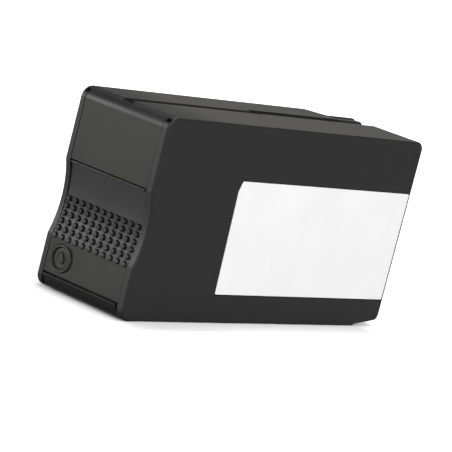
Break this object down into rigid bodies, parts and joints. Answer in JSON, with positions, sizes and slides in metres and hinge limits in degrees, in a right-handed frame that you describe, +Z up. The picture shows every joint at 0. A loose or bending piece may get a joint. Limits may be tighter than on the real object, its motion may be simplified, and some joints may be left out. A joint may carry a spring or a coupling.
{
  "type": "inkjet ink cartridge",
  "caption": "Tall, narrow box-shaped inkjet cartridge with a scooped, studded grip end, a side label, a chip notch and a sprung ink outlet at the rear.",
  "frame": {"origin": "bottom centre of the cartridge's bounding box, in the plane that it stands on", "axes": "+Z up, +Y from the grip end to the outlet end, +X towards the label side"},
  "size_m": [0.034, 0.1129, 0.057],
  "materials": {
    "housing": "satin black moulded plastic with a fine grain",
    "grip": "satin black moulded plastic",
    "label": "plain white printed-stock label, satin",
    "chassis": "dark grey moulded plastic",
    "rubber": "soft grey moulded rubber",
    "natural": "natural translucent plastic",
    "steel": "bright stainless steel",
    "steel_mesh": "fine woven stainless mesh",
    "membrane": "matt white porous film",
    "bag_film": "silvery laminated film",
    "clear_sheet": "clear stiff sheet",
    "board": "green circuit board",
    "epoxy": "black cast resin",
    "gold": "gold-plated contact"
  },
  "bodies": {
    "cartridge": {"near_shell": "housing", "far_shell": "housing", "grip_panel": "grip", "label": "label", "outlet_chassis": "chassis", "chassis_gasket": "rubber", "outlet_septum": "rubber", "outlet_retainer": "natural", "outlet_spring": "steel", "outlet_filter": "steel_mesh", "air_septum": "rubber", "air_retainer": "natural", "vent_membrane": "membrane", "bag_spout": "natural", "ink_bag": "bag_film", "bag_stiffener_near": "clear_sheet", "bag_stiffener_far": "clear_sheet", "chip_board": "board", "chip_cover": "epoxy", "chip_contact_1": "gold", "chip_contact_2": "gold", "chip_contact_3": "gold", "chip_contact_4": "gold", "chip_contact_5": "gold", "chip_contact_6": "gold"},
    "valve_ball": {"outlet_ball": "steel"}
  },
  "joints": [
    {"name": "valve_ball_slide", "type": "slide", "parent": "cartridge", "child": "valve_ball", "axis": [0, -1, 0], "range_m": [0, 0.002], "stiffness_N_per_m": 200, "springref_m": -0.002, "deforming": ["outlet_spring"]}
  ]
}
